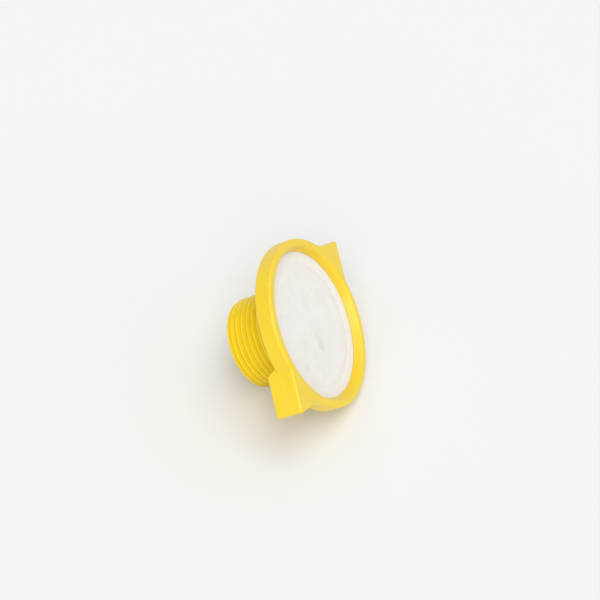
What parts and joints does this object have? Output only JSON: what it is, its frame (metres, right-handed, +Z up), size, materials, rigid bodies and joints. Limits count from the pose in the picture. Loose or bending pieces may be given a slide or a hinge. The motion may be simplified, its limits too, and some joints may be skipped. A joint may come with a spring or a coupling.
{
  "type": "pneumatic muffler",
  "caption": "Round plastic exhaust muffler: hollow threaded stem, shallow cup with two finger wings, and a white felt disc set just below the open front rim.",
  "frame": {"origin": "on the surface the muffler lies on, below the centre of its bounding box", "axes": "+Z up as the muffler lies on its side, resting on the back edge of the cup and on the end of the thread. The muffler's axis lies in the XZ plane and rises 32.68 degrees towards +X, so the stem ends at -X and the felt disc faces +X and up. The wings point along +Y and -Y."},
  "size_m": [0.04, 0.065, 0.0444],
  "materials": {
    "yellow_plastic": "satin moulded nylon or acetal, bright yellow",
    "white_felt": "off-white needled felt with a pressed margin",
    "screen_steel": "thin perforated stainless sheet",
    "coarse_felt": "open grey-white coarse felt"
  },
  "bodies": {
    "root": {"muffler_body": "yellow_plastic", "felt_disc": "white_felt", "support_screen": "screen_steel", "absorber_pad": "coarse_felt"}
  },
  "joints": []
}
